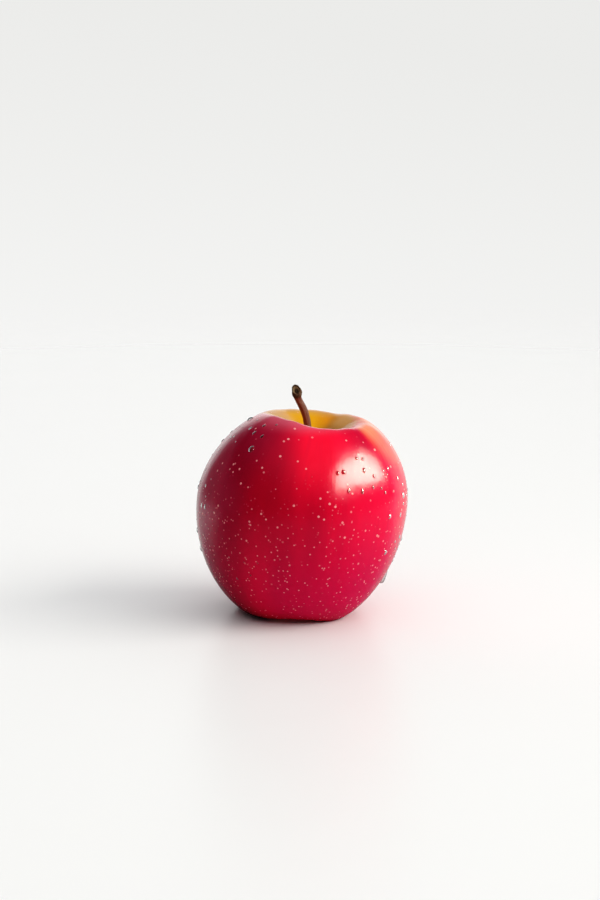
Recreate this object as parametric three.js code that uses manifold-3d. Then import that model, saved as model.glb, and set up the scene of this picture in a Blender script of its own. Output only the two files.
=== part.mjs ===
// A whole apple, standing on its own base, with its stem, its dried flower end
// and the larger beads of water on its skin.
//
// Millimetres, +Z up. The surface that the apple stands on is z = 0, and the
// middle of the whole apple, seen from above, is at x = 0, y = 0.

import * as THREE from 'three';
import { mergeVertices } from 'three/addons/utils/BufferGeometryUtils.js';
import Module from 'manifold-3d';

// The fruit's turned outline, before it grows its lobes and its lean.
const DIAMETER = 75;
const HEIGHT = 70.7;
const EQUATOR_HEIGHT = 40.5;
const UPPER_FULLNESS = 19;
const SHOULDER_FULLNESS = 4;
const LOWER_FULLNESS = 24.5;
const FOOT_FULLNESS = 6;

// The stem cavity on top.
const RIM_RADIUS = 18.5;
const CAVITY_DEPTH = 13;
const CAVITY_LIP = 8.5;
const CAVITY_FLOOR = 3.5;

// The basin underneath, and the ring that the apple stands on.
const REST_RADIUS = 17.5;
const BASIN_DEPTH = 7.5;
const BASIN_LIP = 6;
const BASIN_FLOOR = 5;
const REST_FLAT = 0.6;

// Five lobes: where each one is, in degrees about +Z from +X, how far it lifts
// the rim, and how far it reaches down as a foot, as shares of the two rises.
const LOBES = [
  { turn: 20, rim: 0.3, foot: 0.88 },
  { turn: 88, rim: 0.12, foot: 1.0 },
  { turn: 153, rim: 0.2, foot: 1.3 },
  { turn: 223, rim: 1.35, foot: 0.4 },
  { turn: 316, rim: 0.12, foot: 0.86 },
];
const LOBE_SHARPNESS = 8;
const LOBE_SWELL = 0.035;
const RIM_SHARE = 0.6;
const FOOT_SHARE = 0.7;
const RIM_RISE = 1.7;
const FOOT_RISE = 2.2;

// The fruit leans to +X as it rises.
const LEAN = 5;
const CROWN_SHIFT = 0.7;

// The stem, from its root in the cavity's floor to the scar at its tip.
const STEM_HEIGHT = 25.2;
const STEM_REACH = 4.6;
const STEM_TILT = 2.5;
const STEM_SWAY = 0.3;
const STEM_ROOT = 4;
const STEM_DIAMETER = 2.6;
const STEM_FLARE = 0.5;
const KNOB_DIAMETER = 3.4;
const KNOB_LENGTH = 4;
const SCAR_DEPTH = 0.7;

// The dried flower end in the basin.
const SEPAL_COUNT = 5;
const SEPAL_LENGTH = 5.2;
const SEPAL_WIDTH = 3;
const SEPAL_BASE = 1.9;
const SEPAL_THICKNESS = 0.4;
const SEPAL_SPLAY = 32;
const SEPAL_CURL = 1.1;
const TUFT_DIAMETER = 2.2;
const TUFT_LENGTH = 3.4;

// Water beads: their turn about +Z, how far up the fruit they sit as a share of
// its height, and the size of the wetted patch across and down the skin.
const WATER_DROPS = [
  { turn: 352, up: 0.2, width: 3.1, length: 6.2 },
  { turn: 188, up: 0.97, width: 2.9, length: 2.9 },
  { turn: 228, up: 0.865, width: 2.5, length: 2.5 },
  { turn: 172, up: 0.89, width: 2.2, length: 2.3 },
  { turn: 178, up: 0.85, width: 1.9, length: 2.0 },
  { turn: 181, up: 0.625, width: 2.0, length: 2.2 },
  { turn: 188, up: 0.425, width: 2.1, length: 2.3 },
  { turn: 182, up: 0.32, width: 2.4, length: 2.8 },
  { turn: 340, up: 0.675, width: 2.2, length: 2.4 },
  { turn: 324, up: 0.59, width: 1.8, length: 1.9 },
  { turn: 356, up: 0.41, width: 2.2, length: 2.5 },
  { turn: 326, up: 0.395, width: 1.8, length: 2.0 },
];
const DROP_RISE = 0.42;

// Space left between pieces that touch.
const CLEARANCE = 0.3;

// How finely the curved bodies are divided.
const FRUIT_SEGMENTS = 64;
const FRUIT_RINGS = 42;
const STEM_SEGMENTS = 18;
const STEM_RINGS = 16;
const DROP_SEGMENTS = 14;
const DROP_RINGS = 4;

const { degToRad, smoothstep } = THREE.MathUtils;
const wasm = await Module();
wasm.setup();

/** The half outline from the basin's centre, round the fruit, to the cavity's floor. */
function makeOutline() {
  const radius = DIAMETER / 2;
  const floor = HEIGHT - CAVITY_DEPTH;
  const outline = new THREE.Path();
  outline.moveTo(0, BASIN_DEPTH);
  outline.bezierCurveTo(BASIN_FLOOR, BASIN_DEPTH, REST_RADIUS - BASIN_LIP, 0, REST_RADIUS, 0);
  outline.bezierCurveTo(
    REST_RADIUS + FOOT_FULLNESS, 0, radius, EQUATOR_HEIGHT - LOWER_FULLNESS, radius, EQUATOR_HEIGHT,
  );
  outline.bezierCurveTo(
    radius, EQUATOR_HEIGHT + UPPER_FULLNESS, RIM_RADIUS + SHOULDER_FULLNESS, HEIGHT, RIM_RADIUS, HEIGHT,
  );
  outline.bezierCurveTo(RIM_RADIUS - CAVITY_LIP, HEIGHT, CAVITY_FLOOR, floor, 0, floor);
  return outline;
}

const outline = makeOutline();

/** Sum of the lobes' strengths, of one kind, in the direction of an angle. */
function lobeStrength(angle, kind) {
  let sum = 0;
  for (const lobe of LOBES) {
    sum += lobe[kind] * Math.exp(LOBE_SHARPNESS * (Math.cos(angle - degToRad(lobe.turn)) - 1));
  }
  return sum;
}

/** Moves a point of the plain turned body to where the grown fruit has it. */
function grow(radius, height, angle) {
  const above = smoothstep(height, EQUATOR_HEIGHT, HEIGHT);
  const below = 1 - smoothstep(height, 0, EQUATOR_HEIGHT);
  const rim = lobeStrength(angle, 'rim');
  const foot = lobeStrength(angle, 'foot');
  const swell = above * (rim - RIM_SHARE) + below * (foot - FOOT_SHARE);
  const reach = radius * (1 + LOBE_SWELL * swell);
  const lift = RIM_RISE * above * Math.min(1, radius / RIM_RADIUS) * rim;
  const raise = FOOT_RISE * below ** 2 * Math.min(1, radius / REST_RADIUS) * (1 - foot);
  const rise = height + lift + raise;
  const lean = degToRad(LEAN) * (rise / HEIGHT);
  const across = reach * Math.cos(angle);
  return new THREE.Vector3(
    across * Math.cos(lean) + rise * Math.sin(lean) + CROWN_SHIFT * above,
    reach * Math.sin(angle),
    rise * Math.cos(lean) - across * Math.sin(lean),
  );
}

/** The outline's point at a height between the resting ring and the rim. */
function outlineAt(height) {
  const side = height < EQUATOR_HEIGHT ? outline.curves[1] : outline.curves[2];
  let low = 0;
  let high = 1;
  for (let step = 0; step < 30; step += 1) {
    const middle = (low + high) / 2;
    if (side.getPoint(middle).y < height) low = middle;
    else high = middle;
  }
  return side.getPoint(low);
}

/** A place on the skin: its point, outward normal and the way down the skin. */
function skinAt(up, angle) {
  const step = 0.01;
  const height = up * HEIGHT;
  const here = outlineAt(height);
  const lower = outlineAt(height - step);
  const point = grow(here.x, height, angle);
  const down = grow(lower.x, height - step, angle).sub(point).normalize();
  const along = grow(here.x, height, angle + step).sub(point).normalize();
  const normal = down.clone().cross(along).normalize();
  return { point, normal, down };
}

/** A closed geometry as a manifold solid. */
function toSolid(geometry) {
  const bare = geometry.clone();
  bare.deleteAttribute('normal');
  bare.deleteAttribute('uv');
  const merged = mergeVertices(bare, 1e-4);
  const index = merged.index.array;
  const triangles = [];
  for (let i = 0; i < index.length; i += 3) {
    const [a, b, c] = [index[i], index[i + 1], index[i + 2]];
    if (a !== b && b !== c && c !== a) triangles.push(a, b, c);
  }
  return new wasm.Manifold(new wasm.Mesh({
    numProp: 3,
    vertProperties: merged.attributes.position.array,
    triVerts: new Uint32Array(triangles),
  }));
}

/** A manifold solid as a geometry. */
function toGeometry(solid) {
  const mesh = solid.getMesh();
  const geometry = new THREE.BufferGeometry();
  geometry.setAttribute('position', new THREE.BufferAttribute(mesh.vertProperties, 3));
  geometry.setIndex(new THREE.BufferAttribute(mesh.triVerts, 1));
  geometry.computeVertexNormals();
  return geometry;
}

/** A body turned about +Z from points of (radius, height). */
function turn(points, segments) {
  return new THREE.LatheGeometry(points, segments).rotateX(Math.PI / 2);
}

/** Moves every vertex of a geometry by a function from point to point. */
function reshape(geometry, move) {
  const position = geometry.attributes.position;
  const point = new THREE.Vector3();
  for (let i = 0; i < position.count; i += 1) {
    point.fromBufferAttribute(position, i);
    const moved = move(point);
    position.setXYZ(i, moved.x, moved.y, moved.z);
  }
  return geometry;
}

/** The curve along the middle of the stem, from its root to its scar. */
function stemCurve() {
  const floor = grow(0, HEIGHT - CAVITY_DEPTH, 0);
  const along = (reach, tilt, height) => floor.clone().add(new THREE.Vector3(-reach, -tilt, height));
  return new THREE.CubicBezierCurve3(
    along(0, 0, -STEM_ROOT),
    along(-STEM_SWAY, 0, STEM_HEIGHT * 0.6),
    along(STEM_REACH * 0.4, STEM_TILT * 0.2, STEM_HEIGHT * 0.68),
    along(STEM_REACH, STEM_TILT, STEM_HEIGHT),
  );
}

/** The stem, or with a clearance the room that it needs in the fruit. */
function stemBody(clearance) {
  const curve = stemCurve();
  const length = curve.getLength();
  const shaft = STEM_DIAMETER / 2;
  const knob = KNOB_DIAMETER / 2;
  const side = new THREE.SplineCurve([
    new THREE.Vector2(shaft + STEM_FLARE * 0.6, 0),
    new THREE.Vector2(shaft + STEM_FLARE, STEM_ROOT),
    new THREE.Vector2(shaft, STEM_ROOT + STEM_HEIGHT * 0.3),
    new THREE.Vector2(shaft, length - KNOB_LENGTH * 1.25),
    new THREE.Vector2(knob, length - KNOB_LENGTH * 0.7),
    new THREE.Vector2(knob * 0.9, length),
  ]);
  const wall = side.getPoints(STEM_RINGS).map((p) => new THREE.Vector2(p.x + clearance, p.y));
  wall[0].y -= clearance;
  const points = [
    new THREE.Vector2(0, -clearance),
    ...wall,
    new THREE.Vector2(knob * 0.5, length - SCAR_DEPTH * 0.8),
    new THREE.Vector2(0, length - SCAR_DEPTH),
  ];
  const front = new THREE.Vector3(0, 1, 0);
  return reshape(turn(points, STEM_SEGMENTS), (point) => {
    const share = THREE.MathUtils.clamp(point.z / length, 0, 1);
    const tangent = curve.getTangentAt(share);
    const right = front.clone().cross(tangent).normalize();
    const back = tangent.clone().cross(right);
    return curve.getPointAt(share)
      .addScaledVector(tangent, point.z - share * length)
      .addScaledVector(right, point.x)
      .addScaledVector(back, point.y);
  });
}

/** Flesh and skin as one solid, flat under its feet, with a socket for the stem. */
function fruitBody() {
  const turned = turn(outline.getSpacedPoints(FRUIT_RINGS), FRUIT_SEGMENTS);
  const grown = reshape(turned, (p) => grow(Math.hypot(p.x, p.y), p.z, Math.atan2(p.y, p.x)));
  const ground = new THREE.BoxGeometry(2 * DIAMETER, 2 * DIAMETER, HEIGHT);
  ground.translate(0, 0, REST_FLAT - HEIGHT / 2);
  const body = toSolid(grown).subtract(toSolid(ground)).subtract(toSolid(stemBody(CLEARANCE)));
  return toGeometry(body);
}

/** One dried sepal: a pointed leaf, lying along +Y, curling to +Z at its tip. */
function sepalBody() {
  const half = SEPAL_WIDTH / 2;
  const leaf = new THREE.Shape();
  leaf.moveTo(-SEPAL_BASE / 2, 0);
  leaf.lineTo(SEPAL_BASE / 2, 0);
  leaf.bezierCurveTo(half, SEPAL_LENGTH * 0.2, half, SEPAL_LENGTH * 0.5, 0, SEPAL_LENGTH);
  leaf.bezierCurveTo(-half, SEPAL_LENGTH * 0.5, -half, SEPAL_LENGTH * 0.2, -SEPAL_BASE / 2, 0);
  const blade = new THREE.ExtrudeGeometry(leaf, {
    depth: SEPAL_THICKNESS,
    bevelEnabled: false,
    curveSegments: 8,
  });
  return reshape(blade, (p) => new THREE.Vector3(p.x, p.y, p.z + SEPAL_CURL * (p.y / SEPAL_LENGTH) ** 2));
}

/** The tuft of dried stamens, hanging from z = 0 and widening to its lower end. */
function tuftBody() {
  const half = TUFT_DIAMETER / 2;
  return turn([
    new THREE.Vector2(0, -TUFT_LENGTH),
    new THREE.Vector2(half * 0.7, -TUFT_LENGTH * 0.97),
    new THREE.Vector2(half, -TUFT_LENGTH * 0.8),
    new THREE.Vector2(half * 0.7, -TUFT_LENGTH * 0.4),
    new THREE.Vector2(half * 0.6, 0),
    new THREE.Vector2(0, 0),
  ], 12);
}

/** A bead of water on a flat patch at z = 0, heavier towards its -Y end. */
function dropBody(width, length) {
  const rise = width * DROP_RISE;
  const points = [new THREE.Vector2(0, 0)];
  for (let ring = 0; ring <= DROP_RINGS; ring += 1) {
    const climb = (ring / DROP_RINGS) * (Math.PI / 2);
    points.push(new THREE.Vector2(Math.cos(climb) * width / 2, Math.sin(climb) * rise));
  }
  const sag = (length / width - 1) * 0.5;
  return reshape(turn(points, DROP_SEGMENTS), (p) => new THREE.Vector3(
    p.x,
    (p.y * length) / width - sag * p.z,
    p.z,
  ));
}

const skin = new THREE.MeshStandardMaterial({ color: '#bf0a2b', roughness: 0.32, metalness: 0 });
const bark = new THREE.MeshStandardMaterial({ color: '#70402f', roughness: 0.75, metalness: 0 });
const driedLeaf = new THREE.MeshStandardMaterial({ color: '#6f5136', roughness: 0.9, metalness: 0 });
const driedTuft = new THREE.MeshStandardMaterial({ color: '#4b3422', roughness: 0.95, metalness: 0 });
const water = new THREE.MeshStandardMaterial({ color: '#e9eef0', roughness: 0.05, metalness: 0 });

/** A named mesh with a finish of its own. */
function makePiece(name, geometry, material) {
  const mesh = new THREE.Mesh(geometry, material.clone());
  mesh.name = name;
  return mesh;
}

/** The sepals and the stamen tuft, in a group at the middle of the basin's floor. */
function makeCalyx() {
  const calyx = new THREE.Group();
  calyx.position.copy(grow(0, BASIN_DEPTH, 0));
  calyx.position.z -= CLEARANCE;
  const pitch = SEPAL_BASE + CLEARANCE;
  const ring = Math.max(pitch * SEPAL_COUNT / (2 * Math.PI), TUFT_DIAMETER / 2) + CLEARANCE;
  const wall = outline.curves[0].getPoints(60).find((p) => p.x > ring + SEPAL_THICKNESS);
  for (let i = 0; i < SEPAL_COUNT; i += 1) {
    const spoke = new THREE.Group();
    spoke.rotation.z = (i / SEPAL_COUNT) * 2 * Math.PI;
    const sepal = makePiece(`sepal_${i + 1}`, sepalBody(), driedLeaf);
    sepal.rotation.set(-Math.PI / 2 + degToRad(SEPAL_SPLAY), 0, 0);
    sepal.position.set(0, ring, wall.y - BASIN_DEPTH - SEPAL_THICKNESS);
    spoke.add(sepal);
    calyx.add(spoke);
  }
  calyx.add(makePiece('stamen_tuft', tuftBody(), driedTuft));
  return calyx;
}

/** One bead of water, seated a clearance off the skin. */
function makeDrop({ turn: degrees, up, width, length }, number) {
  const { point, normal, down } = skinAt(up, degToRad(degrees));
  const drop = makePiece(`water_drop_${String(number).padStart(2, '0')}`, dropBody(width, length), water);
  const uphill = down.clone().negate();
  const across = uphill.clone().cross(normal);
  drop.quaternion.setFromRotationMatrix(new THREE.Matrix4().makeBasis(across, uphill, normal));
  drop.position.copy(point).addScaledVector(normal, CLEARANCE);
  return drop;
}

const apple = new THREE.Group();
apple.add(makePiece('fruit', fruitBody(), skin));
apple.add(makePiece('stem', stemBody(0), bark));
apple.add(makeCalyx());
WATER_DROPS.forEach((drop, i) => apple.add(makeDrop(drop, i + 1)));

// The middle of the whole apple comes over the origin, and its feet to z = 0.
const extent = new THREE.Box3().setFromObject(apple, true);
const middle = extent.getCenter(new THREE.Vector3());
apple.position.set(-middle.x, -middle.y, -extent.min.z);

export default apple;
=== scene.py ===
"""A whole red apple, wet with beads of water, standing on a pale table.

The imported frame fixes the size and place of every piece. This script gives the
fruit its grown surface and waxy skin, the stem its bark and scar, the flower
end its dried sepals and stamens, and the skin its beads of water, each in the
room that its solid takes up. The shapes are worked out in millimetres, as in
the part's source, and become metres where a mesh is made. +Z is up.
"""

import logging
import math
from dataclasses import dataclass, field
from enum import Enum
from typing import Sequence, Union

import bpy
import numpy as np
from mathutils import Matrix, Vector


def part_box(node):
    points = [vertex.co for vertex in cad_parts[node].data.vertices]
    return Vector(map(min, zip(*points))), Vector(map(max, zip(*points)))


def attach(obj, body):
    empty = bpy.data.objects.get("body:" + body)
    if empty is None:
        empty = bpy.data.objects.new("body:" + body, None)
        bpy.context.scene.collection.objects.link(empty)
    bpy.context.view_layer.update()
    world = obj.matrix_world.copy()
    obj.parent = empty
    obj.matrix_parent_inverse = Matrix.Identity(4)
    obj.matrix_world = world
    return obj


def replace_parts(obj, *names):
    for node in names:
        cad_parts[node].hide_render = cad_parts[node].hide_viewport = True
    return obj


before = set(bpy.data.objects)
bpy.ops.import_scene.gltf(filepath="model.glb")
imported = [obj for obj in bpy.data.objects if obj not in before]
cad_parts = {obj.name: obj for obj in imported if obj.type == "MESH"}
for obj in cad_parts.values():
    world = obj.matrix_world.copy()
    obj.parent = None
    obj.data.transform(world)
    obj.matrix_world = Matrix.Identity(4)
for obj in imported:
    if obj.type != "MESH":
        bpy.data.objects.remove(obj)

MM = 0.001
BODY = "root"
GOLDEN_ANGLE = 2.399963
log = logging.getLogger("apple")

Array = np.ndarray
Colour = tuple[float, float, float, float]
Triple = tuple[float, float, float]
Term = Union["Flow", float, Colour, Triple]


class Slot(Enum):
    """The record's material slots."""

    SKIN = "skin"
    BARK = "stem_bark"
    SEPAL = "dried_sepal"
    TUFT = "dried_tuft"
    WATER = "water"


def rgb(red: float, green: float, blue: float) -> Colour:
    """An opaque colour from its linear parts."""
    return (red, green, blue, 1.0)


# ---------------------------------------------------------------- shader maths


class Flow:
    """A value that flows between shader nodes and takes part in arithmetic."""

    def __init__(self, graph: "Graph", socket: bpy.types.NodeSocket) -> None:
        """Wraps a node's output socket.

        Args:
            graph: The graph that the socket belongs to.
            socket: The output socket.
        """
        self.graph = graph
        self.socket = socket

    def _math(self, operation: str, *terms: Term) -> "Flow":
        """The result of a Math node on some terms."""
        return self.graph.node("ShaderNodeMath", {"operation": operation}, dict(enumerate(terms)))

    def __add__(self, other: Term) -> "Flow":
        """self + other."""
        return self._math("ADD", self, other)

    __radd__ = __add__

    def __sub__(self, other: Term) -> "Flow":
        """self - other."""
        return self._math("SUBTRACT", self, other)

    def __rsub__(self, other: Term) -> "Flow":
        """other - self."""
        return self._math("SUBTRACT", other, self)

    def __mul__(self, other: Term) -> "Flow":
        """self * other."""
        return self._math("MULTIPLY", self, other)

    __rmul__ = __mul__

    def at_least(self, floor: Term) -> "Flow":
        """The larger of the value and a floor."""
        return self._math("MAXIMUM", self, floor)

    def rise(self, start: float, end: float) -> "Flow":
        """A smooth step from 0 to 1.

        Args:
            start: The value where the step leaves 0.
            end: The value where it reaches 1, above or below start.

        Returns:
            The step's height.
        """
        inputs = {"Value": self, "From Min": start, "From Max": end, "To Min": 0.0, "To Max": 1.0}
        return self.graph.node("ShaderNodeMapRange", {"interpolation_type": "SMOOTHSTEP"}, inputs)

    def part(self, axis: str) -> "Flow":
        """The X, Y or Z part of a vector."""
        return self.graph.node("ShaderNodeSeparateXYZ", {}, {0: self}, axis)

    def scaled(self, factors: Triple) -> "Flow":
        """A vector with each part multiplied by a factor."""
        settings = {"operation": "MULTIPLY"}
        return self.graph.node("ShaderNodeVectorMath", settings, {0: self, 1: factors})

    def away(self, point: Triple) -> "Flow":
        """The distance of a vector from a point."""
        settings = {"operation": "DISTANCE"}
        return self.graph.node("ShaderNodeVectorMath", settings, {0: self, 1: point}, "Value")

    def facing(self, direction: Triple) -> "Flow":
        """How far a vector reaches in a direction."""
        settings = {"operation": "DOT_PRODUCT"}
        return self.graph.node("ShaderNodeVectorMath", settings, {0: self, 1: direction}, "Value")


class Graph:
    """A node tree that is written as expressions."""

    def __init__(self, tree: bpy.types.NodeTree) -> None:
        """Empties a tree and starts on it.

        Args:
            tree: The node tree of a material or a world.
        """
        self.tree = tree
        tree.nodes.clear()

    @staticmethod
    def _find(sockets: bpy.types.bpy_prop_collection, key: int | str) -> bpy.types.NodeSocket:
        """Finds a socket.

        Args:
            sockets: A node's inputs or outputs.
            key: Its place, identifier or name.

        Returns:
            The socket.
        """
        if isinstance(key, int):
            return sockets[key]
        for socket in sockets:
            if socket.identifier == key:
                return socket
        return sockets[key]

    def node(
        self,
        kind: str,
        settings: dict[str, object],
        inputs: dict[int | str, Term],
        output: int | str | None = 0,
    ) -> Flow | None:
        """Adds a node, sets it up and feeds it.

        Args:
            kind: The node's type name.
            settings: Its properties, or "stops" for a ramp's (place, colour) pairs.
            inputs: Values or links, by socket place, identifier or name.
            output: The output socket that the result comes from, or None for an end.

        Returns:
            The value at that output.
        """
        made = self.tree.nodes.new(kind)
        for name, value in settings.items():
            if name == "stops":
                self._set_stops(made.color_ramp, value)
            else:
                setattr(made, name, value)
        for key, value in inputs.items():
            socket = self._find(made.inputs, key)
            if isinstance(value, Flow):
                self.tree.links.new(value.socket, socket)
            else:
                socket.default_value = value
        return None if output is None else Flow(self, self._find(made.outputs, output))

    @staticmethod
    def _set_stops(ramp: bpy.types.ColorRamp, stops: Sequence[tuple[float, Colour]]) -> None:
        """Gives a colour ramp its stops, from left to right."""
        while len(ramp.elements) < len(stops):
            ramp.elements.new(1.0)
        for element, (place, colour) in zip(ramp.elements, stops):
            element.position = place
            element.color = colour

    def mix(self, share: Term, under: Term, over: Term) -> Flow:
        """Lays one colour over another.

        Args:
            share: How much of the upper colour is laid, from 0 to 1.
            under: The lower colour.
            over: The upper colour.

        Returns:
            The mixed colour.
        """
        settings = {"data_type": "RGBA", "clamp_factor": True}
        inputs = {"Factor_Float": share, "A_Color": under, "B_Color": over}
        return self.node("ShaderNodeMix", settings, inputs, "Result_Color")

    def ramp(self, value: Flow, stops: Sequence[tuple[float, Colour]]) -> Flow:
        """The colour on a ramp at a value."""
        return self.node("ShaderNodeValToRGB", {"stops": stops}, {"Fac": value}, "Color")

    def position(self) -> Flow:
        """The place on the piece, in metres."""
        return self.node("ShaderNodeTexCoord", {}, {}, "Object")

    def attribute(self, name: str) -> Flow:
        """A vector that the mesh carries at each point."""
        return self.node("ShaderNodeAttribute", {"attribute_name": name}, {}, "Vector")

    def noise(self, where: Flow, scale: float, detail: float = 2.0, rough: float = 0.5) -> Flow:
        """Smooth noise around one half."""
        inputs = {"Vector": where, "Scale": scale, "Detail": detail, "Roughness": rough}
        return self.node("ShaderNodeTexNoise", {}, inputs, "Fac")

    def specks(self, where: Flow, scale: float) -> tuple[Flow, Flow]:
        """Scatters points through space.

        Args:
            where: The place that is looked from.
            scale: How closely they lie.

        Returns:
            The distance to the nearest point, and a random number that belongs to it.
        """
        inputs = {"Vector": where, "Scale": scale}
        near = self.node("ShaderNodeTexVoronoi", {}, inputs, "Distance")
        return near, self.node("ShaderNodeTexVoronoi", {}, inputs, "Color").part("X")

    def bump(self, height: Flow, depth: float, under: Flow | None = None) -> Flow:
        """A normal tilted by a height map.

        Args:
            height: The map, where 1 stands proud by the whole depth.
            depth: The height of a step from 0 to 1, in metres.
            under: A normal to tilt further.

        Returns:
            The tilted normal.
        """
        inputs = {"Height": height, "Distance": depth, "Strength": 1.0}
        if under is not None:
            inputs["Normal"] = under
        return self.node("ShaderNodeBump", {}, inputs, "Normal")

    def surface(self, values: dict[int | str, Term]) -> None:
        """Ends the graph in a Principled shader with these sockets."""
        shader = self.node("ShaderNodeBsdfPrincipled", {}, values, "BSDF")
        self.node("ShaderNodeOutputMaterial", {}, {"Surface": shader}, None)


def new_material(name: str) -> tuple[bpy.types.Material, Graph]:
    """Starts a material.

    Args:
        name: Its name.

    Returns:
        The material and its empty graph.
    """
    material = bpy.data.materials.new(name)
    material.use_nodes = True
    return material, Graph(material.node_tree)


# --------------------------------------------------------------------- finishes


@dataclass(frozen=True)
class SkinFinish:
    """Waxed skin: a red blush over a yellow ground, with pale lenticels."""

    ground: Colour = rgb(0.74, 0.35, 0.004)
    ground_warm: Colour = rgb(0.66, 0.19, 0.003)
    ground_low: Colour = rgb(0.52, 0.28, 0.05)
    # Salmon and amber show where the blush is thin; along the right edge they are also a painted reflection
    # of the backdrop.
    salmon: Colour = rgb(0.92, 0.11, 0.07)
    amber: Colour = rgb(0.82, 0.24, 0.09)
    # Painted light: the brighter red of the upper front face.
    lit_face_red: Colour = rgb(0.96, 0.002, 0.042)
    red: Colour = rgb(0.74, 0.002, 0.045)
    deep_red: Colour = rgb(0.40, 0.002, 0.038)
    # Darker, bluer red low down: partly the skin's own tone, partly painted shade and reflection.
    low_red_shade_and_sheen: Colour = rgb(0.60, 0.003, 0.085)
    # Painted shade: the dark red of the left side, away from the light.
    shaded_side_red: Colour = rgb(0.23, 0.003, 0.045)
    # Painted light and reflection: the lighter, pinker red of the lit right flank.
    lit_flank_rose: Colour = rgb(0.88, 0.006, 0.058)
    # Painted reflection: the pink band along the rim's crest.
    crest_sheen: Colour = rgb(0.62, 0.12, 0.16)
    lenticel: Colour = rgb(0.94, 0.36, 0.34)
    # Painted shade: the dark brown of the cavity's wall on the +X side.
    cavity_shade_brown: Colour = rgb(0.26, 0.10, 0.03)
    tan: Colour = rgb(0.56, 0.31, 0.13)
    russet: Colour = rgb(0.20, 0.10, 0.03)
    gloss_tint: Colour = rgb(1.0, 0.84, 0.82)
    # Painted light: the pink glow under a bead, standing in for the light that it focuses.
    caustic_pink: Colour = rgb(0.9, 0.5, 0.5)
    caustic_share: float = 0.12
    rough: float = 0.235
    ior: float = 1.58

    def _ground_colour(self, graph: Graph, place: Flow, mottle: Flow) -> Flow:
        """The yellow ground, warmer on the leaning side and russet deep in the cavity, with painted shade
        on the cavity's wall on the +X side.

        Args:
            graph: The material's graph.
            place: The skin's own place: its turn in X and Y, and its level in Z.
            mottle: Fine noise that breaks its patches up.

        Returns:
            The ground's colour.
        """
        level = place.part("Z")
        warm = place.part("X").rise(-0.2, 0.5) * level.rise(1.75, 1.2)
        ground = graph.mix(level.rise(1.5, 1.9), self.ground, self.ground_low)
        ground = graph.mix(warm * 0.8, ground, self.ground_warm)
        ground = graph.mix((mottle - 0.35) * 0.5, ground, self.ground_low)
        aside = place.part("X") + 0.05
        flank = (aside * aside).rise(0.10, 0.62) * level.rise(1.75, 1.45)
        ground = graph.mix(level.rise(1.28, 0.98).at_least(flank) * 0.85, ground, self.tan)
        # Painted shade: the cavity's wall on the +X side, turned away from the light, goes dark brown.
        deep = level.rise(1.28, 1.55) * place.part("X").rise(0.0, 0.6) * 0.85
        ground = graph.mix(deep, ground, self.cavity_shade_brown)
        return graph.mix(level.rise(1.72, 1.95) * mottle.rise(0.38, 0.6), ground, self.russet)

    def _red_colour(self, graph: Graph, place: Flow, streaks: Flow, hairs: Flow) -> Flow:
        """The red over it, in bands, with painted light and shade in patches, a thin salmon patch that is
        partly painted reflection, and a painted reflection along the crest.

        Args:
            graph: The material's graph.
            place: The skin's own place: its turn in X and Y, and its level in Z.
            streaks: Noise drawn out from rim to base.
            hairs: The same, finer.

        Returns:
            The red's colour.
        """
        level = place.part("Z")
        bands = graph.noise(place.scaled((2.6, 2.6, 0.5)), 1.0, 2.0)
        red = graph.mix((bands - 0.2) * 2.2, self.deep_red, self.red)
        # Painted light: a brighter red on the upper front face, where the light falls.
        bright = place.away((0.02, -1.0, 0.74)).rise(0.66, 0.15) * (0.85 + (streaks - 0.5) * 0.8)
        red = graph.mix(bright, red, self.lit_face_red)
        # Painted light and reflection: a lighter, pinker red on the right flank below the shine, where the
        # panel lights it.
        lit_flank = place.scaled((1.0, 1.0, 0.8)).away((0.76, -0.65, 0.08)).rise(0.60, 0.10)
        red = graph.mix(lit_flank * 0.75, red, self.lit_flank_rose)
        # Painted shade: a darker patch on the front left, away from the light.
        deep = place.scaled((1.0, 1.0, 0.6)).away((-0.50, -0.86, 0.22)).rise(0.52, 0.18)
        red = graph.mix(deep * (0.7 + (streaks - 0.5) * 0.9), red, self.deep_red)
        red = graph.mix(streaks.rise(0.5, 0.8) * 0.3, red, self.deep_red)
        # Painted shade: the left side, away from the light, turns a darker red.
        red = graph.mix(place.part("X").rise(-0.30, -0.82) * 0.75, red, self.shaded_side_red)
        # Low down the red turns darker and bluer: partly the skin's own tone, partly painted shade and
        # reflection.
        lower = level.rise(0.25, -0.9) * place.part("X").rise(-0.9, -0.2) * 0.9
        red = graph.mix(lower, red, self.low_red_shade_and_sheen)
        # The thin blush on the right shoulder lets salmon and amber through; where it reaches down the
        # right edge, it is also a painted reflection of the bright backdrop.
        reach = place.scaled((1.0, 1.0, 1.25)).away((0.99, -0.05, 1.15)) + (streaks - 0.5) * 0.25
        shade = reach.rise(0.72, 0.46)
        thin = (shade * (0.92 + (streaks - 0.5) * 1.1 + (hairs - 0.5) * 0.9)).at_least(0.0)
        pale = graph.mix(level.rise(0.70, 1.0), self.salmon, self.amber)
        red = graph.mix(thin, red, pale)
        # Painted reflection: a pink band along the rim's crest, where the bright backdrop is mirrored.
        crest = (level - place.part("X") * 0.13).rise(0.82, 1.05)
        return graph.mix(crest * 0.7, red, self.crest_sheen)

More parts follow.
